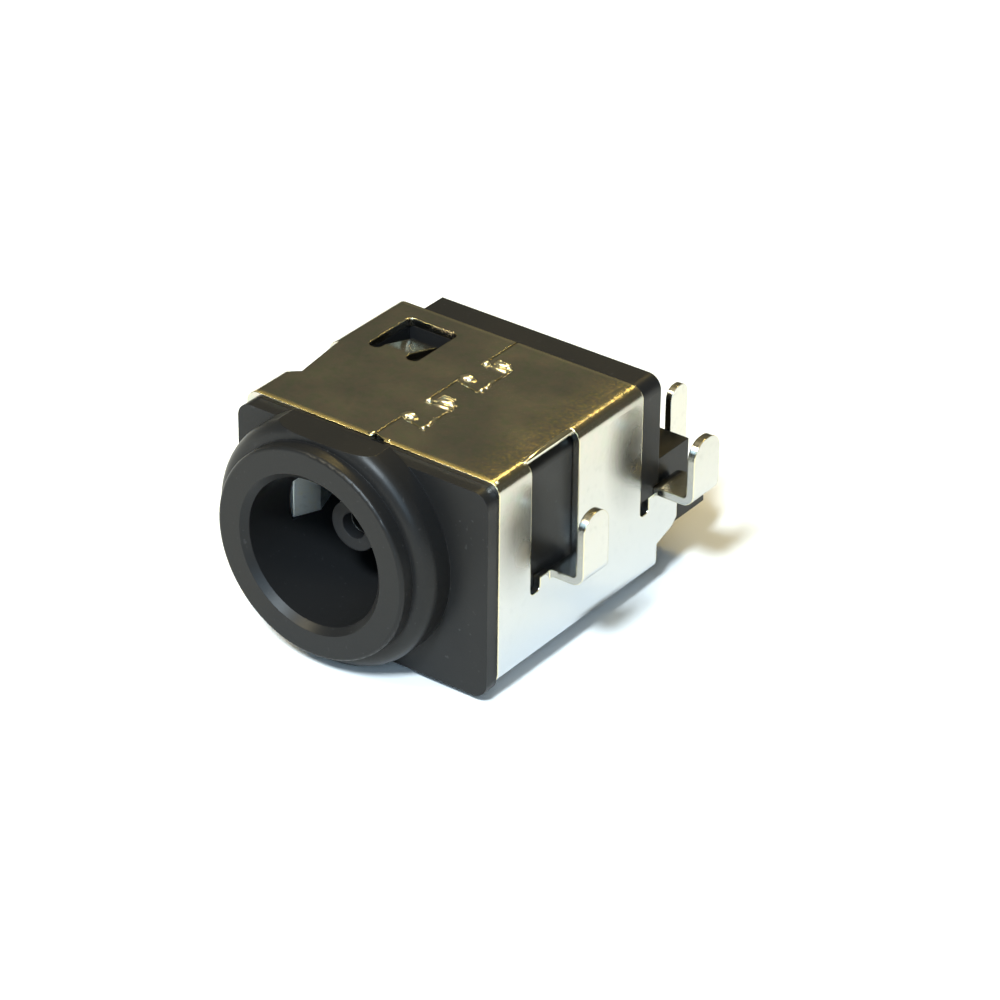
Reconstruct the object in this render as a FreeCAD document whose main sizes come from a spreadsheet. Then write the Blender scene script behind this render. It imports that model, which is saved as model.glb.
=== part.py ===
import FreeCAD, Part
import os
import re
import Sketcher

# Laptop-type power jack, lying with its solder pins up.
# The origin is on the plug axis, where the nose leaves the collar. The plug comes in along +Y.

SIZES = {
    # shell: one sheet folded into a square tube
    "body_width": 11.2,
    "shell_height": 8.2,
    "shell_length": 8.6,
    "sheet": 0.3,
    "bend_radius": 0.5,
    "heel_length": 1.15,
    # seam on top of the shell
    "seam_gap": 0.05,
    "seam_notch": 0.55,
    "lock_depth": 1.1,
    "lock_neck": 1.5,
    "lock_head": 2.0,
    "lock_front": 2.5,
    "lock_rear": 5.75,
    "stake_width": 0.55,
    "stake_length": 0.3,
    "stake_depth": 0.08,
    # latch window in the top of the shell
    "window_left": 4.25,
    "window_width": 2.25,
    "window_front": 5.15,
    "window_length": 2.6,
    "window_round": 0.24,
    "tongue_width": 1.15,
    "tongue_hinge": 0.4,
    "tongue_length": 1.6,
    "tongue_drop": 0.45,
    # solder tabs of the shell
    "slot_front": 1.87,
    "slot_length": 2.83,
    "slot_bite": 0.42,
    "left_slot_bite": 0.76,
    "relief_width": 0.6,
    "relief_depth": 0.62,
    "relief_round": 0.22,
    "tab_width": 1.5,
    "tab_shelf": 3.4,
    "tab_height": 2.5,
    "tab_tip": 0.7,
    "front_tab_reach": 1.45,
    "front_tab_inset": 1.15,
    "rear_tab_reach": 1.75,
    "rear_tab_inset": 0.8,
    "rear_tab_width": 1.6,
    "rear_tab_shelf": 3.75,
    "rear_tab_height": 2.3,
    # housing: flange, collar and nose
    "axis_height": 4.5,
    "axis_offset": 0.85,
    "seat_drop": 0.3,
    "flange_thickness": 0.6,
    "flange_inset": 0.06,
    "flange_drop": 0.2,
    "flange_corner": 0.6,
    "collar_radius": 4.8,
    "collar_thickness": 1.3,
    "collar_edge": 0.6,
    "collar_top": 4.3,
    "nose_radius": 4.15,
    "nose_length": 0.6,
    "nose_edge": 0.15,
    "bore_radius": 2.9,
    "mouth_edge": 0.25,
    "bore_floor": 0.9,
    "recess_depth": 1.15,
    "recess_gap": 0.15,
    "latch_pocket_depth": 1.0,
    # centre post
    "post_radius": 1.0,
    "post_recess": 2.55,
    "post_wall": 0.16,
    "post_shoulder": 0.25,
    "head_thickness": 0.25,
    "socket_radius": 0.5,
    "socket_wall": 0.18,
    "socket_recess": 0.5,
    # side spring
    "spring_sheet": 0.2,
    "spring_width": 1.6,
    "spring_reach": 2.45,
    "spring_wall": 0.63,
    "spring_crease": 1.0,
    "spring_lift": 0.45,
    "spring_heel": 4.4,
    # rear cap and terminal block
    "cap_thickness": 1.1,
    "cap_left_inset": 1.35,
    "cap_edge": 0.55,
    "block_length": 2.4,
    "block_top": 4.45,
    "block_bottom": 1.25,
    "ledge_length": 1.15,
    "ledge_top": 2.4,
    # terminals
    "blade": 0.25,
    "leg_height": 0.8,
    "pin_width": 1.05,
    "pin_top": 6.1,
    "pin_stagger": 0.35,
    "pin_tip": 0.45,
    "pin_gap": 0.07,
    "pin_inset": 0.99,
    "plate_gap": 0.25,
    # clearance between pieces that fit into each other
    "fit_gap": 0.02,
}

PLACES = {
    "shell_front": "(collar_thickness + flange_thickness)",
    "shell_rear": "(shell_front + shell_length)",
    "cap_rear": "(shell_rear + cap_thickness)",
    "block_rear": "(cap_rear + block_length)",
    "ledge_rear": "(block_rear + ledge_length)",
    "floor": "(-axis_height)",
    "shell_bottom": "(floor + seat_drop)",
    "shell_top": "(shell_bottom + shell_height)",
    "inner_half": "(body_width / 2 - sheet - fit_gap)",
    "core_left": "(axis_offset - inner_half)",
    "core_right": "(axis_offset + inner_half)",
    "spring_back": "(core_left + spring_wall)",
    "spring_face": "(spring_back + blade)",
    "ground_middle": "(spring_back + blade / 2)",
    "power_middle": "(core_right - pin_inset)",
    "mouth": "(-nose_length)",
    "post_tip": "(mouth + post_recess)",
    "shoulder_radius": "(post_radius + post_shoulder)",
    "eye_radius": "(shoulder_radius + 2 * blade)",
    "recess_front": "(shell_rear - recess_depth)",
    "bore_end": "(recess_front - bore_floor)",
    "power_front": "(recess_front + fit_gap)",
    "signal_front": "(power_front + blade + plate_gap)",
    "leg_bottom": "(shell_bottom + ledge_top + fit_gap)",
    "leg_top": "(leg_bottom + leg_height)",
    "pin_front": "(block_rear + pin_gap)",
    "pin_rear": "(pin_front + pin_width)",
    "pin_end": "(shell_bottom + pin_top)",
    "low_pin_end": "(pin_end - pin_stagger)",
    "window_edge": "(-window_left)",
    "tongue_edge": "(window_edge + (window_width - tongue_width) / 2)",
    "tongue_root": "(window_front + tongue_hinge)",
    "slot_rear": "(slot_front + slot_length)",
    "tab_root": "(tab_shelf - relief_depth)",
    "front_tab": "(slot_front + front_tab_inset)",
    "rear_tab": "(shell_length + rear_tab_inset)",
    "rear_root": "(rear_tab_shelf - relief_depth)",
    "ear_rear": "(rear_tab + rear_tab_width)",
    "heel_rear": "(shell_length + heel_length)",
}

doc = FreeCAD.newDocument("dc_barrel_jack")
sheet = doc.addObject("Spreadsheet::Sheet", "Sizes")
for row, (alias, number) in enumerate(SIZES.items(), start=1):
    sheet.set("A%d" % row, alias)
    sheet.set("B%d" % row, str(number))
    sheet.setAlias("B%d" % row, alias)
doc.recompute()


def bound(words):
    """Spell a place out in named sizes, each looked up in the sheet."""
    spelled = str(words)
    while any(word in PLACES for word in re.findall(r"[a-z_]+", spelled)):
        spelled = re.sub(r"[a-z_]+", lambda m: PLACES.get(m.group(0), m.group(0)), spelled)
    return re.sub(r"[a-z_]+", lambda m: "Sizes." + m.group(0), spelled)


def value(words):
    return float(sheet.evalExpression(bound(words)))


def tie(item, prop, words):
    item.setExpression(prop, bound(words))


def seat(item, x="0", y="0", z="0"):
    """Tie an item's place to the sheet."""
    tie(item, "Placement.Base.x", x)
    tie(item, "Placement.Base.y", y)
    tie(item, "Placement.Base.z", z)


# Plain solids

def box(name, x, y, z):
    """A box between two places along each axis."""
    item = doc.addObject("Part::Box", name)
    for prop, (low, high) in zip(("Length", "Width", "Height"), (x, y, z)):
        tie(item, prop, "(%s) - (%s)" % (high, low))
    seat(item, x[0], y[0], z[0])
    return item


def rod(name, radius, y):
    """A round bar along the plug axis."""
    item = doc.addObject("Part::Cylinder", name)
    item.Placement.Rotation = FreeCAD.Rotation(FreeCAD.Vector(1, 0, 0), -90)
    tie(item, "Radius", radius)
    tie(item, "Height", "(%s) - (%s)" % (y[1], y[0]))
    seat(item, "0", y[0], "0")
    return item


def rounded_rod(name, radius, edge, y):
    """A round bar along the plug axis whose front edge is rounded."""
    core = rod(name + "_core", "%s - %s" % (radius, edge), y)
    skirt = rod(name + "_skirt", radius, ("%s + %s" % (y[0], edge), y[1]))
    bead = doc.addObject("Part::Torus", name + "_bead")
    bead.Placement.Rotation = FreeCAD.Rotation(FreeCAD.Vector(1, 0, 0), -90)
    tie(bead, "Radius1", "%s - %s" % (radius, edge))
    tie(bead, "Radius2", edge)
    seat(bead, "0", "%s + %s" % (y[0], edge), "0")
    return join(name, [core, skirt, bead])


def taper(name, front_radius, rear_radius, y):
    """A cone along the plug axis."""
    item = doc.addObject("Part::Cone", name)
    item.Placement.Rotation = FreeCAD.Rotation(FreeCAD.Vector(1, 0, 0), -90)
    tie(item, "Radius1", front_radius)
    tie(item, "Radius2", rear_radius)
    tie(item, "Height", "(%s) - (%s)" % (y[1], y[0]))
    seat(item, "0", y[0], "0")
    return item


def join(name, pieces):
    item = doc.addObject("Part::MultiFuse", name)
    item.Shapes = pieces
    return item


def carve(name, base, tools):
    """Take several solids away from one."""
    item = doc.addObject("Part::Cut", name)
    item.Base = base
    item.Tool = join(name + "_tools", tools) if len(tools) > 1 else tools[0]
    return item


# Sketches

def origin_plane(body, role):
    return next(feature for feature in body.Origin.OriginFeatures if feature.Role == role)


def hold(sketch, kind, element, position, words):
    """Hold one coordinate of a point to a place in the sheet."""
    if value(words) == 0:
        axis = -2 if kind == "DistanceX" else -1
        sketch.addConstraint(Sketcher.Constraint("PointOnObject", element, position, axis))
        return
    rule = Sketcher.Constraint(kind, -1, 1, element, position, value(words))
    index = sketch.addConstraint(rule)
    sketch.setExpression("Constraints[%d]" % index, bound(words))


def corner_shift(here, there, radius):
    """A point one radius away from a corner, towards the next corner."""
    side = FreeCAD.Vector(there[0] - here[0], there[1] - here[1], 0)
    side.normalize()
    return FreeCAD.Vector(here[0], here[1], 0) + side * radius


def outline(sketch, corners):
    """Draw a closed outline. A corner is (across, up) or (across, up, radius).

    Lines that meet a rounded corner are level or upright.
    """
    points = [(value(corner[0]), value(corner[1])) for corner in corners]
    radii = [value(corner[2]) if len(corner) > 2 else 0 for corner in corners]
    count = len(corners)
    lines = []
    for i in range(count):
        j = (i + 1) % count
        start = corner_shift(points[i], points[j], radii[i])
        end = corner_shift(points[j], points[i], radii[j])
        lines.append(sketch.addGeometry(Part.LineSegment(start, end), False))
    for i, corner in enumerate(corners):
        before = lines[i - 1]
        after = lines[i]
        if not radii[i]:
            sketch.addConstraint(Sketcher.Constraint("Coincident", before, 2, after, 1))
            hold(sketch, "DistanceX", after, 1, corner[0])
            hold(sketch, "DistanceY", after, 1, corner[1])
            continue
        add_round(sketch, points, radii[i], i, before, after, corner[2])
    for i in range(count):
        j = (i + 1) % count
        if not (radii[i] or radii[j]):
            continue
        level = corners[i][1] == corners[j][1]
        kind = "Horizontal" if level else "Vertical"
        sketch.addConstraint(Sketcher.Constraint(kind, lines[i]))
        if radii[i] and radii[j]:
            across = "DistanceY" if level else "DistanceX"
            hold(sketch, across, lines[i], 1, corners[i][1 if level else 0])


def add_round(sketch, points, radius, i, before, after, words):
    """Round one corner with an arc that runs into both lines."""
    here = points[i]
    start = corner_shift(here, points[i - 1], radius)
    end = corner_shift(here, points[(i + 1) % len(points)], radius)
    corner = FreeCAD.Vector(here[0], here[1], 0)
    centre = start + end - corner
    middle = centre + (corner - centre).normalize() * radius
    leftwards = (corner - start).cross(end - corner).z > 0
    first, second = (1, 2) if leftwards else (2, 1)
    low, high = (start, end) if leftwards else (end, start)
    arc = sketch.addGeometry(Part.Arc(low, middle, high), False)
    sketch.addConstraint(Sketcher.Constraint("Tangent", before, 2, arc, first))
    sketch.addConstraint(Sketcher.Constraint("Tangent", arc, second, after, 1))
    index = sketch.addConstraint(Sketcher.Constraint("Radius", arc, radius))
    sketch.setExpression("Constraints[%d]" % index, bound(words))


def draw(body, name, role, offset, loops):
    """A sketch on one of the body's own planes, moved off it by an offset."""
    sketch = body.newObject("Sketcher::SketchObject", name)
    sketch.AttachmentSupport = (origin_plane(body, role), [""])
    sketch.MapMode = "FlatFace"
    tie(sketch, "AttachmentOffset.Base.z", offset)
    for corners in loops:
        outline(sketch, corners)
    return sketch


def feature(body, kind, name, sketch, length, reverse):
    item = body.newObject("PartDesign::" + kind, name)
    item.Profile = sketch
    tie(item, "Length", length)
    item.Reversed = reverse
    sketch.Visibility = False
    return item


def pad(body, name, role, span, loops):
    """Add the outlines as a plate between two places across their plane."""
    sketch, reverse = plane_sketch(body, name, role, span, loops)
    return feature(body, "Pad", name, sketch, "(%s) - (%s)" % (span[1], span[0]), reverse)


def pocket(body, name, role, span, loops):
    """Cut the outlines between two places across their plane, and check that it cut."""
    before = body.Shape.Volume
    sketch, reverse = plane_sketch(body, name, role, span, loops)
    item = feature(body, "Pocket", name, sketch, "(%s) - (%s)" % (span[1], span[0]), not reverse)
    doc.recompute()
    if not body.Shape.Volume < before:
        raise RuntimeError(name + " cuts nothing")
    return item


def plane_sketch(body, name, role, span, loops):
    """The XZ plane faces -Y, so its offset is turned round."""
    turned = role == "XZ_Plane"
    offset = "-(%s)" % span[0] if turned else span[0]
    sketch = draw(body, name + "_sketch", role, offset, loops)
    return sketch, turned


def frame_rectangle(x, z, radius):
    return [(x[0], z[0], radius), (x[1], z[0], radius), (x[1], z[1], radius), (x[0], z[1], radius)]


def edges_at(shape, test):
    """Names of the edges whose middle passes a test."""
    names = []
    for number, edge in enumerate(shape.Edges, start=1):
        if edge.Curve.TypeId == "Part::GeomLine" and test(edge, edge.CenterOfMass):
            names.append("Edge%d" % number)
    return names


def along(edge, axis):
    """Whether an edge runs along an axis."""
    start, end = (vertex.Point for vertex in edge.Vertexes)
    side = (end - start).normalize()
    return round(abs(getattr(side, axis)), 3) == 1


def round_edges(body, name, edges, radius):
    base = body.Tip
    item = body.newObject("PartDesign::Fillet", name)
    item.Base = (base, edges)
    tie(item, "Radius", radius)
    body.Tip = item
    doc.recompute()


# Shell

def shell_body():
    """The folded sheet: a square tube, its sides carried on past the rear as heels."""
    body = doc.addObject("PartDesign::Body", "shell")
    seat(body, "axis_offset", "shell_front", "shell_bottom")
    outer = frame_rectangle(("-body_width / 2", "body_width / 2"), ("0", "shell_height"), "bend_radius")
    inner = frame_rectangle(
        ("sheet - body_width / 2", "body_width / 2 - sheet"),
        ("sheet", "shell_height - sheet"),
        "bend_radius - sheet",
    )
    pad(body, "tube", "XZ_Plane", ("0", "heel_rear"), [outer, inner])
    doc.recompute()
    clear_heels(body)
    side_features = [add_ear(body), cut_slot(body)]
    front = ("front_tab", "front_tab + tab_width")
    side_features.append(add_tab(body, "front_tab_fold", front, "front_tab_reach", "tab_shelf", "tab_height"))
    rear = ("rear_tab", "ear_rear")
    side_features.append(add_tab(body, "rear_tab_fold", rear, "rear_tab_reach", "rear_tab_shelf", "rear_tab_height"))
    doc.recompute()
    mirror = body.newObject("PartDesign::Mirrored", "both_sides")
    mirror.Originals = side_features
    mirror.MirrorPlane = (origin_plane(body, "YZ_Plane"), [""])
    body.Tip = mirror
    doc.recompute()
    widen_left_slot(body)
    cut_window(body)
    cut_seam(body)
    round_tips(body)
    return body


def clear_heels(body):
    """Behind the shell only the bottom and the lower sides go on."""
    corners = [
        ("shell_length", "tab_root", "relief_round"),
        ("shell_length + relief_width - seam_gap", "tab_root", "relief_round"),
        ("shell_length + relief_width - seam_gap", "tab_shelf"),
        ("heel_rear + sheet", "tab_shelf"),
        ("heel_rear + sheet", "shell_height + sheet"),
        ("shell_length", "shell_height + sheet"),
    ]
    pocket(body, "heel_cut", "YZ_Plane", ("-body_width", "body_width"), [corners])


def add_ear(body):
    """The side wall behind the heel, which carries the rear tab."""
    corners = [
        ("heel_rear - sheet", "rear_root"),
        ("heel_rear - sheet", "heel_length"),
        ("heel_rear", "heel_length"),
        ("ear_rear - sheet", "heel_length + sheet"),
        ("ear_rear", "heel_length + 2 * sheet"),
        ("ear_rear", "rear_root"),
    ]
    return pad(body, "ear", "YZ_Plane", ("body_width / 2 - sheet", "body_width / 2"), [corners])


def cut_slot(body):
    """The slot that the front tab was folded out of, with a relief notch at its front corner."""
    corners = [
        ("slot_front", "tab_root", "relief_round"),
        ("slot_front + relief_width", "tab_root", "relief_round"),
        ("slot_front + relief_width", "tab_shelf - sheet / 3"),
        ("front_tab", "tab_shelf - sheet / 3"),
        ("front_tab", "tab_root"),
        ("slot_rear", "tab_root"),
        ("slot_rear", "shell_height + sheet"),
        ("slot_front", "shell_height + sheet"),
    ]
    span = ("body_width / 2 - slot_bite", "body_width / 2 + sheet")
    return pocket(body, "slot", "YZ_Plane", span, [corners])


def add_tab(body, name, span, reach, shelf, height):
    """A solder tab: a shelf folded outwards from the wall, then up."""
    wall = "body_width / 2"
    out = "body_width / 2 + " + reach
    root = shelf + " - relief_depth - sheet"
    tip = shelf + " + " + height
    corners = [
        (wall + " - sheet", root),
        (wall + " - sheet", shelf, "bend_radius"),
        (out + " - sheet", shelf, "bend_radius - sheet"),
        (out + " - sheet", tip),
        (out, tip),
        (out, shelf + " - sheet", "bend_radius"),
        (wall, shelf + " - sheet", "bend_radius - sheet"),
        (wall, root),
    ]
    return pad(body, name, "XZ_Plane", span, [corners])


def widen_left_slot(body):
    """The left slot's upper end is bitten further into the top, most of all near its front."""
    side = "-body_width / 2"
    corners = [
        (side + " - sheet", "slot_front"),
        (side + " + slot_bite", "slot_front"),
        (side + " + left_slot_bite", "slot_front + relief_width / 2"),
        (side + " + slot_bite", "slot_rear"),
        (side + " - sheet", "slot_rear"),
    ]
    span = ("shell_height - 2 * sheet", "shell_height + sheet")
    pocket(body, "left_slot", "XY_Plane", span, [corners])


def cut_window(body):
    """The latch window, and its tongue bent down from the front edge."""
    right = "window_edge + window_width"
    tongue_right = "tongue_edge + tongue_width"
    rear = "window_front + window_length"
    corners = [
        ("window_edge", "window_front", "window_round"),
        ("tongue_edge", "window_front", "window_round"),
        ("tongue_edge", "tongue_root"),
        (tongue_right, "tongue_root"),
        (tongue_right, "window_front", "window_round"),
        (right, "window_front", "window_round"),
        (right, rear, "window_round"),
        ("window_edge", rear, "window_round"),
    ]
    span = ("shell_height - 2 * sheet", "shell_height + sheet")
    pocket(body, "window", "XY_Plane", span, [corners])
    tip = "tongue_root + tongue_length"
    tongue = [
        ("tongue_root - sheet", "shell_height - sheet"),
        ("tongue_root", "shell_height - sheet"),
        (tip, "shell_height - sheet - tongue_drop"),
        (tip, "shell_height - tongue_drop"),
        ("tongue_root", "shell_height"),
        ("tongue_root - sheet", "shell_height"),
    ]
    pad(body, "tongue", "YZ_Plane", ("tongue_edge", tongue_right), [tongue])
    doc.recompute()


def seam_side(across, slack):
    """One edge of the seam, from front to rear, around both dovetail tongues."""
    corners = []
    for middle in ("lock_front", "lock_rear"):
        corners += [
            (across, "%s - lock_neck / 2 - %s" % (middle, slack)),
            ("lock_depth + " + across, "%s - lock_head / 2 - %s" % (middle, slack)),
            ("lock_depth + " + across, "%s + lock_head / 2 + %s" % (middle, slack)),
            (across, "%s + lock_neck / 2 + %s" % (middle, slack)),
        ]
    return corners


def cut_seam(body):
    """The slit where the sheet's two ends meet, and the stakes that lock its dovetails."""
    right = seam_side("seam_gap / 2", "seam_gap / 2")
    left = seam_side("-seam_gap / 2", "-seam_gap / 2")
    front = [("-seam_gap / 2", "-sheet"), ("seam_notch", "-sheet"), ("seam_notch", "sheet / 4"),
             ("seam_gap / 2", "seam_notch / 2")]
    rear = [("seam_gap / 2", "shell_length + sheet"), ("-seam_gap / 2", "shell_length + sheet")]
    span = ("shell_height - 2 * sheet", "shell_height + sheet")
    pocket(body, "seam", "XY_Plane", span, [front + right + rear + left[::-1]])
    span = ("shell_height - stake_depth", "shell_height + sheet")
    left_edge = "(lock_depth - stake_width) / 2"
    right_edge = "(lock_depth + stake_width) / 2"
    stakes = []
    for middle in ("lock_front", "lock_rear"):
        low = middle + " + lock_head / 2 + seam_gap"
        high = low + " + stake_length"
        stakes.append([(left_edge, low), (right_edge, low), (right_edge, high), (left_edge, high)])
    pocket(body, "stakes", "XY_Plane", span, stakes)


def round_tips(body):
    """Round the free ends of the four solder tabs."""
    tips = [value(tip + " + shell_bottom") for tip in ("tab_shelf + tab_height", "rear_tab_shelf + rear_tab_height")]

    def is_tip(edge, middle):
        level = min(abs(middle.z - tip) for tip in tips)
        return level < 0.001 and along(edge, "x") and edge.Length < value("2 * sheet")

    names = edges_at(body.Shape, is_tip)
    if len(names) != 8:
        raise RuntimeError("the tabs have %d tip corners" % len(names))
    round_edges(body, "tab_tips", names, "tab_tip")


# Housing

def outline_plate(name, x, y, z, radius):
    """A plate across the plug axis with rounded corners."""
    body = doc.addObject("PartDesign::Body", name)
    pad(body, name + "_pad", "XZ_Plane", y, [frame_rectangle(x, z, radius)])
    return body


def housing_solid():
    """The moulded body: flange, collar and nose in front, and the block inside the shell."""
    half_flange = "(body_width / 2 - flange_inset)"
    x_flange = ("axis_offset - " + half_flange, "axis_offset + " + half_flange)
    z_flange = ("floor", "shell_top - flange_drop")
    y_flange = ("collar_thickness", "shell_front")
    flange = outline_plate("flange", x_flange, y_flange, z_flange, "flange_corner")
    collar_disc = rounded_rod("collar_disc", "collar_radius", "collar_edge", ("0", "collar_thickness"))
    wide = ("-2 * collar_radius", "2 * collar_radius")
    collar_reach = box("collar_reach", wide, ("-nose_length", "shell_front"), (wide[0], "collar_top"))
    collar = doc.addObject("Part::Common", "collar")
    collar.Base = collar_disc
    collar.Tool = collar_reach
    nose = rounded_rod("nose", "nose_radius", "nose_edge", ("mouth", "0"))
    x_core = ("core_left", "core_right")
    z_core = ("shell_bottom + sheet + fit_gap", "shell_top - sheet - fit_gap")
    y_core = ("shell_front - flange_thickness / 2", "shell_rear - fit_gap")
    core = outline_plate("core", x_core, y_core, z_core, "bend_radius")
    body = join("housing_body", [flange, collar, nose, core])
    return carve("housing", body, housing_hollows(x_core, z_core))


def housing_hollows(x_core, z_core):
    """The bore, the spring's channel, the rear recess and the latch pocket."""
    outside = "mouth - fit_gap"
    mouth = taper("mouth_cone", "bore_radius + mouth_edge + fit_gap", "bore_radius", (outside, "mouth + mouth_edge"))
    bore = rod("bore", "bore_radius", (outside, "bore_end"))
    post_hole = rod("post_hole", "shoulder_radius + fit_gap", ("bore_end - fit_gap", "recess_front + fit_gap"))
    channel = box(
        "spring_channel",
        ("spring_back - fit_gap", "-bore_radius / 2"),
        ("post_tip", "shell_rear"),
        ("-spring_width / 2 - fit_gap", "spring_width / 2 + fit_gap"),
    )
    recess = box(
        "rear_recess",
        ("spring_back - recess_gap", "power_middle + blade / 2 + recess_gap"),
        ("recess_front", "shell_rear"),
        ("leg_bottom - recess_gap", "spring_width / 2 + recess_gap"),
    )
    eye_pocket = rod("eye_pocket", "eye_radius + recess_gap", ("recess_front", "shell_rear"))
    latch = box(
        "latch_pocket",
        ("axis_offset + window_edge", "axis_offset + window_edge + window_width"),
        ("shell_front + window_front", "shell_front + window_front + window_length"),
        ("shell_top - sheet - latch_pocket_depth", "shell_top"),
    )
    return [mouth, bore, post_hole, channel, recess, eye_pocket, latch]


# Centre post

def centre_contact():
    """The tube that the plug's inner sleeve slides over, with a shoulder seated in the housing."""
    tube = rod("contact_tube", "post_radius", ("post_tip + head_thickness", "recess_front"))
    shoulder = rod("contact_shoulder", "shoulder_radius", ("bore_end", "power_front + blade"))
    hollow = rod("contact_hollow", "post_radius - post_wall", ("post_tip", "power_front + 2 * blade"))
    return carve("centre_contact", join("contact_body", [tube, shoulder]), [hollow])


def post_core():
    """The insulator inside the tube, with a head over the tube's end."""
    head = rod("core_head", "post_radius - fit_gap", ("post_tip", "post_tip + head_thickness - fit_gap"))
    shank = rod("core_shank", "post_radius - post_wall - fit_gap", ("post_tip", "signal_front - fit_gap"))
    body = join("core_body", [head, shank])
    hole = rod("core_hole", "socket_radius", ("post_tip - fit_gap", "post_tip + socket_recess"))
    bed = rod("socket_bed", "socket_radius + socket_wall + fit_gap", ("post_tip + socket_recess", "shell_rear"))
    return carve("post_core", body, [hole, bed])


def blade_outline(front, top):
    """A terminal seen from the side: a foot, a leg to the rear and a pin that turns up."""
    return [
        (front, "leg_bottom"),
        ("pin_rear", "leg_bottom"),
        ("pin_rear", top),
        ("pin_front", top),
        ("pin_front", "leg_top"),
        ("shell_rear - fit_gap", "leg_top"),
        ("shell_rear - fit_gap", "spring_width / 2"),
        (front, "spring_width / 2"),
    ]


def terminal_blade(name, middle, front, top):
    """A flat terminal across the X axis, its pin rounded at the top."""
    body = doc.addObject("PartDesign::Body", name)
    span = ("%s - blade / 2" % middle, "%s + blade / 2" % middle)
    pad(body, name + "_pad", "YZ_Plane", span, [blade_outline(front, top)])
    doc.recompute()
    height = value(top)

    def is_tip(edge, middle_point):
        return abs(middle_point.z - height) < 0.001 and along(edge, "x")

    round_edges(body, name + "_tip", edges_at(body.Shape, is_tip), "pin_tip")
    return body


def power_terminal():
    """The plate round the tube's rear end, and its pin on the right."""
    blade = terminal_blade("power_blade", "power_middle", "power_front", "pin_end")
    arm = box(
        "power_arm",
        ("0", "power_middle"),
        ("power_front", "power_front + blade"),
        ("-spring_width / 2", "spring_width / 2"),
    )
    eye = rod("power_eye", "eye_radius", ("power_front", "power_front + blade"))
    plate = join("power_plate", [blade, arm, eye])
    hole = rod("power_hole", "shoulder_radius + fit_gap", ("power_front - fit_gap", "power_front + blade + fit_gap"))
    return carve("power_terminal", plate, [hole])


def signal_socket():
    """The thin socket inside the post, with its own plate and pin in the middle."""
    front = "post_tip + socket_recess + fit_gap"
    outside = "(socket_radius + socket_wall)"
    tube = rod("socket_tube", outside, (front, "signal_front + blade / 2"))
    blade = terminal_blade("signal_blade", "axis_offset", "signal_front", "low_pin_end")
    plate = box(
        "signal_plate",
        ("-" + outside, "axis_offset"),
        ("signal_front", "signal_front + blade"),
        ("-" + outside, "spring_width / 2"),
    )
    body = join("socket_body", [tube, blade, plate])
    hole = rod("socket_hole", "socket_radius", (front + " - fit_gap", "signal_front - plate_gap"))
    return carve("signal_socket", body, [hole])


def ground_spring():
    """The leaf on the left of the bore, which presses on the plug's sleeve, and its pin."""
    inner = "spring_face"
    tip = "post_tip + spring_sheet"
    crease = "post_tip + spring_sheet + spring_crease"
    heel = "post_tip + spring_heel"
    reach = "-spring_reach"
    lifted = "-spring_reach - spring_lift"
    face = [(inner, "recess_front + blade"), (inner, heel), (reach, crease), (lifted, tip)]
    back = [(across + " - spring_sheet", along_axis) for across, along_axis in face]
    leaf = doc.addObject("PartDesign::Body", "spring_leaf")
    pad(leaf, "leaf_pad", "XY_Plane", ("-spring_width / 2", "spring_width / 2"), [face + back[::-1]])
    blade = terminal_blade("ground_blade", "ground_middle", "recess_front + fit_gap", "low_pin_end")
    return join("ground_spring", [leaf, blade])


# Rear cap

def rear_cap():
    """The cap over the shell's open end and the terminal block behind it."""
    left = "core_left"
    right = "core_right"
    wide = "axis_offset + body_width / 2"
    high_left = "axis_offset - body_width / 2 + cap_left_inset"
    shelf = "shell_bottom + tab_shelf + fit_gap"
    corners = [
        (left, "shell_bottom + sheet + fit_gap", "bend_radius"),
        (right, "shell_bottom + sheet + fit_gap", "bend_radius"),
        (right, shelf),
        (wide, shelf),
        (wide, "shell_top", "cap_edge"),
        (high_left, "shell_top"),
        (high_left, shelf),
        (left, shelf),
    ]
    cap = doc.addObject("PartDesign::Body", "cap_plate")
    pad(cap, "cap_pad", "XZ_Plane", ("shell_rear + fit_gap", "cap_rear"), [corners])
    bottom = "shell_bottom + block_bottom"
    steps = [
        ("cap_rear - sheet", bottom),
        ("ledge_rear", bottom),
        ("ledge_rear", "shell_bottom + ledge_top"),
        ("block_rear", "shell_bottom + ledge_top"),
        ("block_rear", "shell_bottom + block_top"),
        ("cap_rear - sheet", "shell_bottom + block_top"),
    ]
    block = doc.addObject("PartDesign::Body", "terminal_block")
    pad(block, "block_pad", "YZ_Plane", (left, right), [steps])
    body = join("cap_body", [cap, block])
    middles = ["ground_middle", "axis_offset", "power_middle"]
    slits = [leg_slit(number, middle) for number, middle in enumerate(middles, start=1)]
    tab_notch = box(
        "tab_notch",
        (right, wide + " + sheet"),
        ("shell_front + rear_tab - fit_gap", "cap_rear + fit_gap"),
        (shelf + " - fit_gap", "shell_bottom + rear_tab_shelf + fit_gap"),
    )
    return carve("rear_cap", body, slits + [tab_notch])


def leg_slit(number, middle):
    """The way for one terminal's leg through the cap and the block."""
    return box(
        "leg_slit_%d" % number,
        ("%s - blade / 2 - fit_gap" % middle, "%s + blade / 2 + fit_gap" % middle),
        ("shell_rear - fit_gap", "pin_front + pin_gap"),
        ("leg_bottom - fit_gap", "leg_top + fit_gap"),
    )


def finish(item):
    """Give the sub-part its name, check it and write it."""
    shape = item.Shape
    if shape.isNull() or not shape.isValid():
        raise RuntimeError(item.Name + " has no valid shape")
    if len(shape.Solids) != 1:
        raise RuntimeError("%s has %d solids" % (item.Name, len(shape.Solids)))
    item.Label = item.Name
    shape.exportStep("parts/%s.step" % item.Name)


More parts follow.
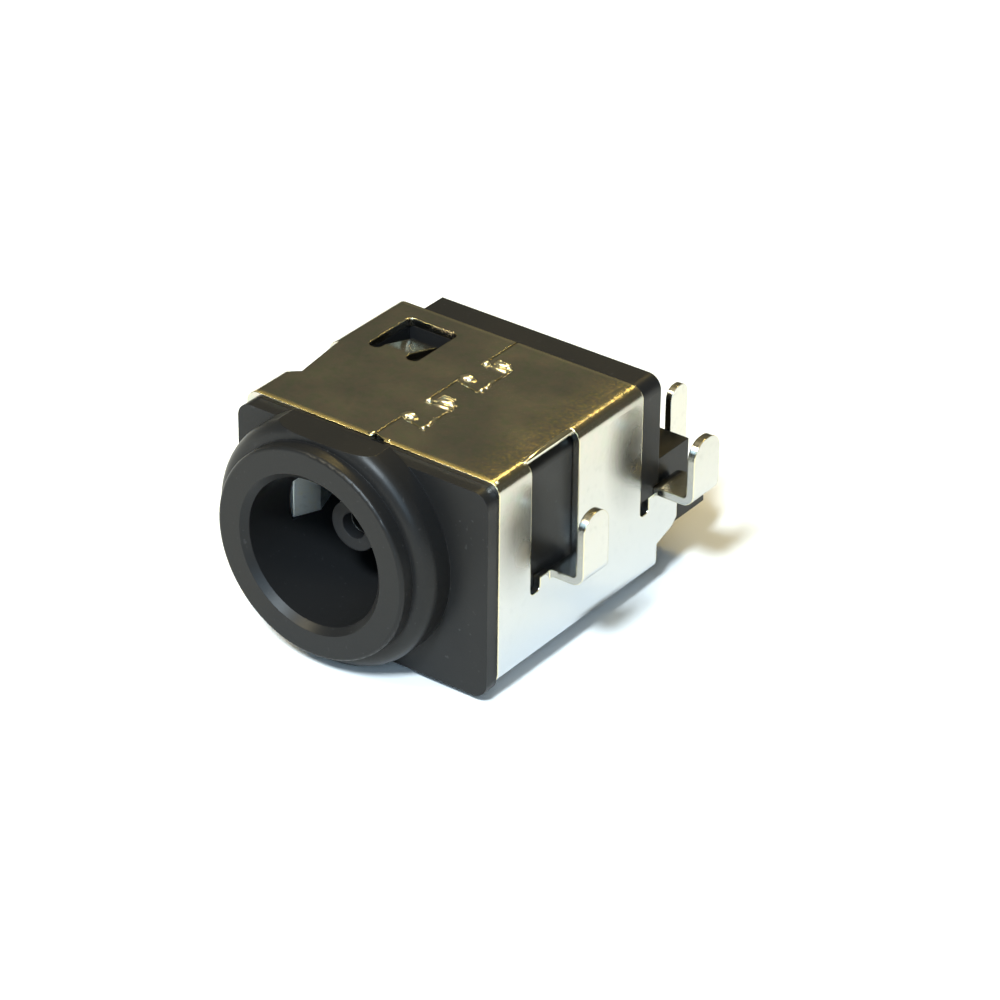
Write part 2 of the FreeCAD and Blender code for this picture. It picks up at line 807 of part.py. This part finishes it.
sub_parts = [
    housing_solid(),
    shell_body(),
    rear_cap(),
    centre_contact(),
    post_core(),
    signal_socket(),
    power_terminal(),
    ground_spring(),
]
doc.recompute()

failed = [item.Name for item in doc.Objects if {"Invalid", "Error"} & set(item.State)]
if failed:
    raise RuntimeError("failed: " + ", ".join(failed))
os.makedirs("parts", exist_ok=True)
for sub_part in sub_parts:
    finish(sub_part)
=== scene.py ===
import math
import random

import bpy
from mathutils import Matrix, Vector


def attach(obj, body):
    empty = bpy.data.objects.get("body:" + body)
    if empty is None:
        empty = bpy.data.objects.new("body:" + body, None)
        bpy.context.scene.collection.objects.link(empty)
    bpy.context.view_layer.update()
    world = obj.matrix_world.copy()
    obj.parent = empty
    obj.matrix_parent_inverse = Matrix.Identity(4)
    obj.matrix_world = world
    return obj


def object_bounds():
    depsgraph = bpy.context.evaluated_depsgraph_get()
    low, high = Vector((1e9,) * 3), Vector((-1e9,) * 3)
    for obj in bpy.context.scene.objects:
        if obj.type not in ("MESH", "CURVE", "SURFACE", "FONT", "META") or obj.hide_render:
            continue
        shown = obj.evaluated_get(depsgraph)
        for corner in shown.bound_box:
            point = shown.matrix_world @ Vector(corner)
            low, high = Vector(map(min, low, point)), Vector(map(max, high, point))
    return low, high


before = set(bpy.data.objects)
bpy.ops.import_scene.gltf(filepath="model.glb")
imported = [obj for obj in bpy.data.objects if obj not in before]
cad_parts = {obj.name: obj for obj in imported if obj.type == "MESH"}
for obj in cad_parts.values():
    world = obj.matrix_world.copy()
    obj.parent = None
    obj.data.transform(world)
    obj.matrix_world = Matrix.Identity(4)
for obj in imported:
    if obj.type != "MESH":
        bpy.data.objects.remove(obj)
cad_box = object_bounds()
MM = 0.001

# Places on the shell, in millimetres
SHELL_TOP = 4.0
SHELL_FRONT = 1.9
SHELL_REAR = 10.5
FOLD = 6.45

# Stretches of the shell over which its mottling, painted reflections and painted highlights come and go, in
# millimetres
MOTTLED = (SHELL_TOP - 2.0, SHELL_TOP)
COOL_REFLECTION_SPAN = (-3.5, 2.5)
TOP_FACE = (SHELL_TOP - 0.3, SHELL_TOP - 0.2)
GOLD_SHEEN_BAND = (FOLD - 2.25, FOLD - 0.25)
FRONT_HIGHLIGHT_SPAN = (SHELL_FRONT + 0.08, SHELL_FRONT + 0.26)
REAR_HIGHLIGHT_SPAN = (SHELL_REAR - 0.2, SHELL_REAR - 0.08)
FOLD_REFLECTION_SPAN = (FOLD - 0.33, FOLD - 0.15)

# What the painted golden sheen, the painted front highlight and the painted dark reflections beside the
# slots add to the roughness
GOLD_SHEEN_DULLNESS = 0.16
FRONT_HIGHLIGHT_DULLNESS = 0.15
TAB_REFLECTION_DULLNESS = 0.12

# Tints of the plating; a row of painted dark reflection is its centre and radius in millimetres, its squeeze
# and its tint
DULL_SHARE = 0.86
WARM_SHARES = (1.0, 0.985, 0.93)
REDDISH = (0.66, 0.57, 0.51)
OLIVE = (0.58, 0.565, 0.5)
GREENISH = (0.5, 0.57, 0.43)
# Painted reflection: the bluish tint the low part of the sheet takes, standing for the bluish floor it
# mirrors
BLUISH_FLOOR_REFLECTION = (0.61, 0.635, 0.66)
# Painted highlight: golden sheen on the top near the right fold
GOLD_SHEEN = (0.9, 0.74, 0.34)
# Painted highlight: golden line along the top's front edge
FRONT_HIGHLIGHT_GOLD = (1.0, 0.86, 0.42)
# Painted highlight: pale golden line along the top's rear edge
REAR_HIGHLIGHT_GOLD = (0.82, 0.78, 0.62)
# Painted reflection: dark brown on the fold, standing for the bend mirroring the dark horizon
FOLD_DARK_REFLECTION = (0.22, 0.16, 0.08)
# Painted highlight: gold on the sharp edges of the folded shell
EDGE_HIGHLIGHT_GOLD = (0.9, 0.8, 0.46)
# Painted reflections: dark patches on the side wall beside the slots, standing for the wall mirroring the
# tabs
TAB_REFLECTION_PATCHES = (
    ((FOLD, 3.0, 1.5), 1.7, 0.6, (0.045, 0.036, 0.018)),
    ((FOLD, 3.4, 0.5), 0.7, 0.8, (0.13, 0.09, 0.03)),
    ((FOLD, 9.9, 1.8), 1.8, 0.6, (0.04, 0.034, 0.02)),
)
REFLECTION_PATCH_DEPTH = 0.93
REFLECTION_PATCH_CORE = 0.15


# Materials

def tree(name):
    """A new material with its nodes, links and shader."""
    mat = bpy.data.materials.new(name)
    mat.use_nodes = True
    nodes = mat.node_tree.nodes
    return mat, nodes, mat.node_tree.links, nodes["Principled BSDF"]


def noise(nodes, links, coords, scale, detail, rough=0.5):
    node = nodes.new("ShaderNodeTexNoise")
    node.inputs["Scale"].default_value = scale
    node.inputs["Detail"].default_value = detail
    node.inputs["Roughness"].default_value = rough
    links.new(coords, node.inputs["Vector"])
    return node.outputs["Fac"]


def ramp(nodes, links, fac, stops):
    node = nodes.new("ShaderNodeValToRGB")
    links.new(fac, node.inputs["Fac"])
    elements = node.color_ramp.elements
    while len(elements) < len(stops):
        elements.new(0.5)
    for element, (place, colour) in zip(elements, stops):
        element.position = place
        element.color = (*colour, 1.0)
    return node.outputs["Color"]


def to_range(nodes, links, fac, low, high, span=(0.0, 1.0)):
    node = nodes.new("ShaderNodeMapRange")
    node.inputs["From Min"].default_value = span[0]
    node.inputs["From Max"].default_value = span[1]
    node.inputs["To Min"].default_value = low
    node.inputs["To Max"].default_value = high
    links.new(fac, node.inputs["Value"])
    return node.outputs["Result"]


def add_bump(nodes, links, height, strength, distance, normal):
    node = nodes.new("ShaderNodeBump")
    node.inputs["Strength"].default_value = strength
    node.inputs["Distance"].default_value = distance
    links.new(height, node.inputs["Height"])
    links.new(normal, node.inputs["Normal"])
    return node.outputs["Normal"]


def soft_edges(nodes, radius):
    """Normal of the surface with its edges rounded."""
    node = nodes.new("ShaderNodeBevel")
    node.samples = 6
    node.inputs["Radius"].default_value = radius
    return node.outputs["Normal"]


def maths(nodes, links, operation, first, second):
    node = nodes.new("ShaderNodeMath")
    node.operation = operation
    for value, socket in ((first, node.inputs[0]), (second, node.inputs[1])):
        if isinstance(value, float):
            socket.default_value = value
        else:
            links.new(value, socket)
    return node.outputs["Value"]


def object_coords(nodes):
    return nodes.new("ShaderNodeTexCoord").outputs["Object"]


def edge_mask(nodes, links, rounded):
    """Rises from 0 on flat faces to 1 on sharp edges."""
    plain = nodes.new("ShaderNodeNewGeometry").outputs["Normal"]
    dot = nodes.new("ShaderNodeVectorMath")
    dot.operation = "DOT_PRODUCT"
    links.new(plain, dot.inputs[0])
    links.new(rounded, dot.inputs[1])
    return to_range(nodes, links, dot.outputs["Value"], low=1.0, high=0.0, span=(0.8, 0.985))


def blend_colours(nodes, links, fac, first, second):
    node = nodes.new("ShaderNodeMix")
    node.data_type = "RGBA"
    links.new(fac, node.inputs["Factor"])
    for colour, socket in ((first, node.inputs[6]), (second, node.inputs[7])):
        if isinstance(colour, tuple):
            socket.default_value = (*colour, 1.0)
        else:
            links.new(colour, socket)
    return node.outputs[2]


def reflection_patch(nodes, links, coords, place, radius, squeeze):
    """A blurred patch of painted dark reflection round a point of the sheet, in millimetres; a squeeze below
    1 makes it longer in Z.
    """
    flat = nodes.new("ShaderNodeVectorMath")
    flat.operation = "MULTIPLY"
    links.new(coords, flat.inputs[0])
    flat.inputs[1].default_value = (1.0, 1.0, squeeze)
    away = nodes.new("ShaderNodeVectorMath")
    away.operation = "DISTANCE"
    links.new(flat.outputs["Vector"], away.inputs[0])
    away.inputs[1].default_value = (place[0] * MM, place[1] * MM, place[2] * squeeze * MM)
    reach = (radius * REFLECTION_PATCH_CORE * MM, radius * MM)
    return to_range(nodes, links, away.outputs["Value"], REFLECTION_PATCH_DEPTH, 0.0, reach)


def fold_mottle_and_painted_light(nodes, links, coords, base, dullness, speck):
    """Colour of the folded sheet: mottled; bluish low down as a painted reflection of the floor; a painted
    golden sheen on top near the right fold and painted golden highlights along the front and rear top edges.

    The last value is the mask of the painted dark reflection on the fold itself.
    """
    def times(first, second):
        return maths(nodes, links, "MULTIPLY", first, second)

    def fade(along, stretch, first, last):
        return to_range(nodes, links, along, first, last, (stretch[0] * MM, stretch[1] * MM))

    def tinted(mask, tint):
        return blend_colours(nodes, links, mask, base, tint)

    def duller(mask, share):
        return maths(nodes, links, "ADD", dullness, times(mask, share))

    place = nodes.new("ShaderNodeSeparateXYZ")
    links.new(coords, place.inputs["Vector"])
    x, y, z = (place.outputs[axis] for axis in "XYZ")
    facing = nodes.new("ShaderNodeSeparateXYZ")
    links.new(nodes.new("ShaderNodeNewGeometry").outputs["Normal"], facing.inputs["Vector"])

    patches = noise(nodes, links, coords, scale=2400.0, detail=5.0, rough=0.7)
    mottle = ramp(nodes, links, patches, [(0.34, REDDISH), (0.5, OLIVE), (0.66, GREENISH)])
    base = tinted(fade(z, MOTTLED, 0.1, 0.6), mottle)
    # Painted reflection: the sheet turns bluish low down, standing for the bluish floor it mirrors
    base = tinted(fade(z, COOL_REFLECTION_SPAN, 0.85, 0.0), BLUISH_FLOOR_REFLECTION)

    upward = to_range(nodes, links, facing.outputs["Z"], low=0.0, high=1.0, span=(0.7, 0.95))
    top = times(upward, fade(z, TOP_FACE, 0.0, 1.0))
    # Painted highlight: a speckled golden sheen on the top near the right fold, standing for the bend
    # reflecting the golden overhead light
    band = times(top, fade(x, GOLD_SHEEN_BAND, 0.0, 0.7))
    dots = noise(nodes, links, coords, scale=7000.0, detail=2.0, rough=0.7)
    fine = to_range(nodes, links, dots, low=0.15, high=1.0, span=(0.42, 0.62))
    coarse = to_range(nodes, links, speck, low=0.6, high=1.0, span=(0.4, 0.6))
    gold = times(band, times(fine, coarse))
    base = tinted(gold, GOLD_SHEEN)
    dullness = duller(gold, GOLD_SHEEN_DULLNESS)

    # Painted highlight: a golden line along the top's front edge
    front = times(top, fade(y, FRONT_HIGHLIGHT_SPAN, 0.9, 0.0))
    base = tinted(front, FRONT_HIGHLIGHT_GOLD)
    dullness = duller(front, FRONT_HIGHLIGHT_DULLNESS)
    # Painted highlight: a pale golden line along the top's rear edge
    rear = times(top, fade(y, REAR_HIGHLIGHT_SPAN, 0.0, 0.8))
    base = tinted(rear, REAR_HIGHLIGHT_GOLD)
    # Painted reflection: mask of the dark line on the fold
    line = times(top, fade(x, FOLD_REFLECTION_SPAN, 0.0, 0.85))
    return base, dullness, line


def plating(name, colour, rough, grain, edge=0.00006, dark_reflections=(), folded=False):
    """Bright plated sheet: fine rolled grain, cloudy roughness and dull specks, with patches of painted dark
    reflection where given; sharp edges keep the plain colour, or on the folded shell are painted gold as a
    highlight.
    """
    mat, nodes, links, shader = tree(name)
    coords = object_coords(nodes)
    cloud = noise(nodes, links, coords, scale=450.0, detail=4.0)
    fine = noise(nodes, links, coords, scale=9000.0, detail=3.0, rough=0.6)
    speck = noise(nodes, links, coords, scale=3200.0, detail=2.0, rough=0.55)
    shader.inputs["Metallic"].default_value = 1.0
    dull = tuple(c * DULL_SHARE for c in colour)
    warm = tuple(c * share for c, share in zip(colour, WARM_SHARES))
    base = ramp(nodes, links, speck, [(0.25, dull), (0.44, colour), (0.56, colour), (0.72, warm)])
    dullness = to_range(nodes, links, cloud, low=rough * 0.8, high=rough * 1.25, span=(0.3, 0.7))
    for place, radius, squeeze, tint in dark_reflections:
        # Painted reflection: each patch darkens the plating where the wall mirrors a tab, and adds roughness
        patch = reflection_patch(nodes, links, coords, place, radius, squeeze)
        base = blend_colours(nodes, links, patch, base, tint)
        dulled = maths(nodes, links, "MULTIPLY", patch, TAB_REFLECTION_DULLNESS)
        dullness = maths(nodes, links, "ADD", dullness, dulled)
    rounded = soft_edges(nodes, edge)
    at_edges = edge_mask(nodes, links, rounded)
    if folded:
        base, dullness, line = fold_mottle_and_painted_light(nodes, links, coords, base, dullness, speck)
        # Painted highlight: sharp edges of the folded shell tinted gold
        base = blend_colours(nodes, links, at_edges, base, EDGE_HIGHLIGHT_GOLD)
        # Painted reflection: the fold itself darkened to brown
        base = blend_colours(nodes, links, line, base, FOLD_DARK_REFLECTION)
    else:
        base = blend_colours(nodes, links, at_edges, base, colour)
    links.new(base, shader.inputs["Base Color"])
    links.new(dullness, shader.inputs["Roughness"])
    normal = add_bump(nodes, links, fine, strength=grain, distance=0.000008, normal=rounded)
    links.new(normal, shader.inputs["Normal"])
    return mat


def moulding(name, colour, rough, edge=0.00007):
    """Black moulded plastic: fine texture, slightly uneven gloss and dust-like pale specks."""
    mat, nodes, links, shader = tree(name)
    coords = object_coords(nodes)
    cloud = noise(nodes, links, coords, scale=300.0, detail=5.0)
    fine = noise(nodes, links, coords, scale=12000.0, detail=4.0, rough=0.6)
    dust = noise(nodes, links, coords, scale=5200.0, detail=2.0)
    pale = tuple(min(1.0, c * 2.2 + 0.01) for c in colour)
    dusty = ramp(nodes, links, dust, [(0.0, colour), (0.68, colour), (0.8, pale)])
    gloss = to_range(nodes, links, cloud, low=rough * 0.85, high=rough * 1.2, span=(0.3, 0.7))
    links.new(dusty, shader.inputs["Base Color"])
    links.new(gloss, shader.inputs["Roughness"])
    shader.inputs["Specular IOR Level"].default_value = 0.21
    rounded = soft_edges(nodes, edge)
    normal = add_bump(nodes, links, fine, strength=0.25, distance=0.00001, normal=rounded)
    links.new(normal, shader.inputs["Normal"])
    return mat


black = moulding("black_moulding", (0.011, 0.011, 0.0115), rough=0.36, edge=0.00003)
core_black = moulding("core_moulding", (0.019, 0.019, 0.02), rough=0.5)
shell_plate = plating(
    "shell_plating", (0.54, 0.535, 0.505), rough=0.17, grain=0.45, edge=0.000075, dark_reflections=TAB_REFLECTION_PATCHES, folded=True
)
spring_plate = plating("spring_plating", (0.84, 0.9, 0.92), rough=0.48, grain=0.3)
contact_plate = plating("contact_plating", (0.62, 0.61, 0.56), rough=0.16, grain=0.2)
# Painted shade: the socket's plating is darkened to stand for the shade deep inside the post
socket_shaded_plate = plating("socket_shaded_plating", (0.2, 0.2, 0.19), rough=0.42, grain=0.2)
# Partly painted highlight: the burrs' plating is a much brighter copy of the shell's, so their glints stand
# out
burr_glint_plate = plating("burr_glint_plating", (0.98, 0.93, 0.74), rough=0.14, grain=0.2, edge=0.00001)

LOOKS = {
    "housing": black,
    "rear_cap": black,
    "shell": shell_plate,
    "centre_contact": contact_plate,
    "post_core": core_black,
    "signal_socket": socket_shaded_plate,
    "power_terminal": contact_plate,
    "ground_spring": spring_plate,
}
for node, look in LOOKS.items():
    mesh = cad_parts[node].data
    mesh.materials.clear()
    mesh.materials.append(look)


# Burrs along the seam and the slot

SEED = random.Random(7)
SINK = 0.02
BLOB_POINTS = 12
RIDGE_END_POINTS = 6
DOVETAILS = ((1, 3.45), (2, 6.85))


def uneven():
    """A share by which a drop's edge comes and goes."""
    return SEED.uniform(0.85, 1.12)


def blob(x, y, radius):
    """Outline of a small uneven drop of plating."""
    turns = [math.tau * k / BLOB_POINTS for k in range(BLOB_POINTS)]
    return [(x + radius * uneven() * math.cos(t), y + radius * uneven() * math.sin(t)) for t in turns]


def ridge(start, end, width):
    """Outline of a bar with rounded ends from start to end."""
    (x0, y0), (x1, y1) = start, end
    heading = math.atan2(y1 - y0, x1 - x0)
    points = []
    for (x, y), first in ((start, heading + math.pi / 2), (end, heading - math.pi / 2)):
        for k in range(RIDGE_END_POINTS):
            t = first + math.pi * k / (RIDGE_END_POINTS - 1)
            points.append((x + 0.5 * width * math.cos(t), y + 0.5 * width * math.sin(t)))
    return points


def burr(name, outline, rise):
    """A low rounded swelling of the sheet over its outline, in millimetres.

    Each ring of its surface is the outline at a scale and a height.
    """
    count = len(outline)
    mid = (sum(p[0] for p in outline) / count, sum(p[1] for p in outline) / count)
    rings = [(1.0, -SINK), (0.96, 0.15 * rise), (0.8, 0.6 * rise), (0.5, 0.9 * rise)]
    points, faces = [], []
    for scale, height in rings:
        for x, y in outline:
            across, along = mid[0] + (x - mid[0]) * scale, mid[1] + (y - mid[1]) * scale
            points.append((across * MM, along * MM, (SHELL_TOP + height) * MM))
    points.append((mid[0] * MM, mid[1] * MM, (SHELL_TOP + rise) * MM))
    for ring in range(len(rings) - 1):
        for k in range(count):
            a, b = ring * count + k, ring * count + (k + 1) % count
            faces.append((a, b, b + count, a + count))
    last = (len(rings) - 1) * count
    faces += [(last + k, last + (k + 1) % count, len(points) - 1) for k in range(count)]
    faces.append(tuple(reversed(range(count))))
    mesh = bpy.data.meshes.new(name)
    mesh.from_pydata(points, [], faces)
    mesh.polygons.foreach_set("use_smooth", [True] * len(faces))
    mesh.materials.append(burr_glint_plate)
    piece = bpy.data.objects.new(name, mesh)
    bpy.context.scene.collection.objects.link(piece)
    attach(piece, "root")


for number, y in DOVETAILS:
    neck = [(0.7, y + 0.16), (1.16, y + 0.26), (1.42, y + 0.48), (1.02, y + 0.68), (0.8, y + 0.5)]
    burr(f"burr_corner_{number}", blob(0.93, y + 1.68, radius=0.15), rise=0.11)
    burr(f"burr_bar_{number}", ridge((1.22, y + 1.9), (1.76, y + 1.94), width=0.24), rise=0.11)
    burr(f"burr_line_{number}", ridge((1.26, y + 1.58), (1.84, y + 1.6), width=0.12), rise=0.06)
    burr(f"burr_neck_{number}", neck, rise=0.13)
    burr(f"burr_dot_{number}", blob(1.96, y, radius=0.1), rise=0.08)
    burr(f"burr_streak_{number}", ridge((1.98, y + 0.25), (1.9, y + 0.85), width=0.12), rise=0.08)
burr("burr_seam_left", [(0.62, 1.96), (0.84, 1.93), (0.88, 2.2), (0.8, 2.32)], rise=0.07)
burr("burr_seam_right", blob(1.55, 2.02, radius=0.08), rise=0.05)
burr("burr_front_corner", blob(6.2, 2.03, radius=0.1), rise=0.06)
burr("burr_slot_edge", ridge((6.14, 3.75), (6.14, 6.45), width=0.22), rise=0.13)


# Floor

FLOOR_REACH = 1.5


def pale_floor(level):
    """A wide sheet of white card under the part."""
    mesh = bpy.data.meshes.new("floor")
    turns = ((-1, -1), (1, -1), (1, 1), (-1, 1))
    corners = [(FLOOR_REACH * x, FLOOR_REACH * y, level) for x, y in turns]
    mesh.from_pydata(corners, [], [(0, 1, 2, 3)])
    floor = bpy.data.objects.new("floor", mesh)
    bpy.context.scene.collection.objects.link(floor)
    mat, nodes, links, shader = tree("white_card")
    coords = object_coords(nodes)
    cloud = noise(nodes, links, coords, scale=60.0, detail=3.0)
    card = ramp(nodes, links, cloud, [(0.3, (0.86, 0.86, 0.86)), (0.7, (0.9, 0.9, 0.9))])
    links.new(card, shader.inputs["Base Color"])
    shader.inputs["Roughness"].default_value = 0.9
    shader.inputs["Specular IOR Level"].default_value = 0.1
    mesh.materials.append(mat)


pale_floor(cad_box[0][2])


# Camera, fitted to the photo; the fit counts in units of 1.12 mm

AZIMUTH = math.radians(36.2007)
ELEVATION = math.radians(30.8161)
ROLL = math.radians(0.7069)
UNIT = 1.12 * MM
DISTANCE = 136.8323 * UNIT
AIM = Vector((0.85 * MM, 1.9 * MM + 5.0 * UNIT, -4.2 * MM + 4.5 * UNIT))
SLIDE = Vector((-1.0626 * UNIT, 1.5991 * UNIT, 0.0))
SENSOR = 36.0
ZOOM = 1.1
LENS = SENSOR * 3.853 * ZOOM

back = Vector((
    math.sin(AZIMUTH) * math.cos(ELEVATION),
    -math.cos(AZIMUTH) * math.cos(ELEVATION),
    math.sin(ELEVATION),
))
right = Vector((math.cos(AZIMUTH), math.sin(AZIMUTH), 0.0))
up = back.cross(right)
rolled_right = right * math.cos(ROLL) + up * math.sin(ROLL)
rolled_up = up * math.cos(ROLL) - right * math.sin(ROLL)
place = AIM - rolled_right * SLIDE.x - rolled_up * SLIDE.y + back * DISTANCE

camera_data = bpy.data.cameras.new("camera")
camera_data.lens = LENS
camera_data.sensor_width = SENSOR
camera_data.clip_start = 0.005
camera_data.clip_end = 10.0
camera = bpy.data.objects.new("camera", camera_data)
bpy.context.scene.collection.objects.link(camera)
turn = Matrix((rolled_right, rolled_up, back)).transposed().to_4x4()
camera.matrix_world = Matrix.Translation(place) @ turn
bpy.context.scene.camera = camera


# Light

LAMP_DISTANCE = 0.6
LAMPS = (
    ("cold_key", 14.0, 50.0, 0.11, 5.0, (0.83, 0.97, 1.06)),
    ("warm_key", -35.0, 48.0, 0.16, 1.5, (1.0, 0.88, 0.6)),
    ("gold_back", 200.0, 54.0, 0.15, 1.15, (1.0, 0.75, 0.27)),
    ("window", 38.0, 30.0, 0.28, 1.0, (0.6, 0.88, 1.15)),
)


def area_light(name, azimuth, elevation, size, power, colour):
    """A round lamp that looks at the part from an angle counted from the plug's side, in degrees."""
    light = bpy.data.lights.new(name, "AREA")
    light.shape = "DISK"
    light.size = size
    light.energy = power
    light.color = colour
    lamp = bpy.data.objects.new(name, light)
    bpy.context.scene.collection.objects.link(lamp)
    a, e = math.radians(azimuth), math.radians(elevation)
    direction = Vector((math.sin(a) * math.cos(e), -math.cos(a) * math.cos(e), math.sin(e)))
    lamp.location = AIM + direction * LAMP_DISTANCE
    lamp.rotation_euler = direction.to_track_quat("Z", "Y").to_euler()


for lamp_row in LAMPS:
    area_light(*lamp_row)


def room_light():
    """A warm dim room: dark and olive near the horizon, golden overhead."""
    world = bpy.data.worlds.new("room")
    world.use_nodes = True
    bpy.context.scene.world = world
    nodes, links = world.node_tree.nodes, world.node_tree.links
    shader = nodes["Background"]
    coords = nodes.new("ShaderNodeTexCoord").outputs["Generated"]
    split = nodes.new("ShaderNodeSeparateXYZ")
    links.new(coords, split.inputs["Vector"])
    colour = ramp(nodes, links, split.outputs["Z"], [
        (0.0, (0.11, 0.1, 0.07)),
        (0.6, (0.125, 0.118, 0.084)),
        (0.85, (0.2, 0.17, 0.1)),
        (0.93, (1.0, 0.85, 0.52)),
    ])
    links.new(colour, shader.inputs["Color"])
    shader.inputs["Strength"].default_value = 1.0


room_light()
bpy.context.scene.view_settings.view_transform = "Standard"
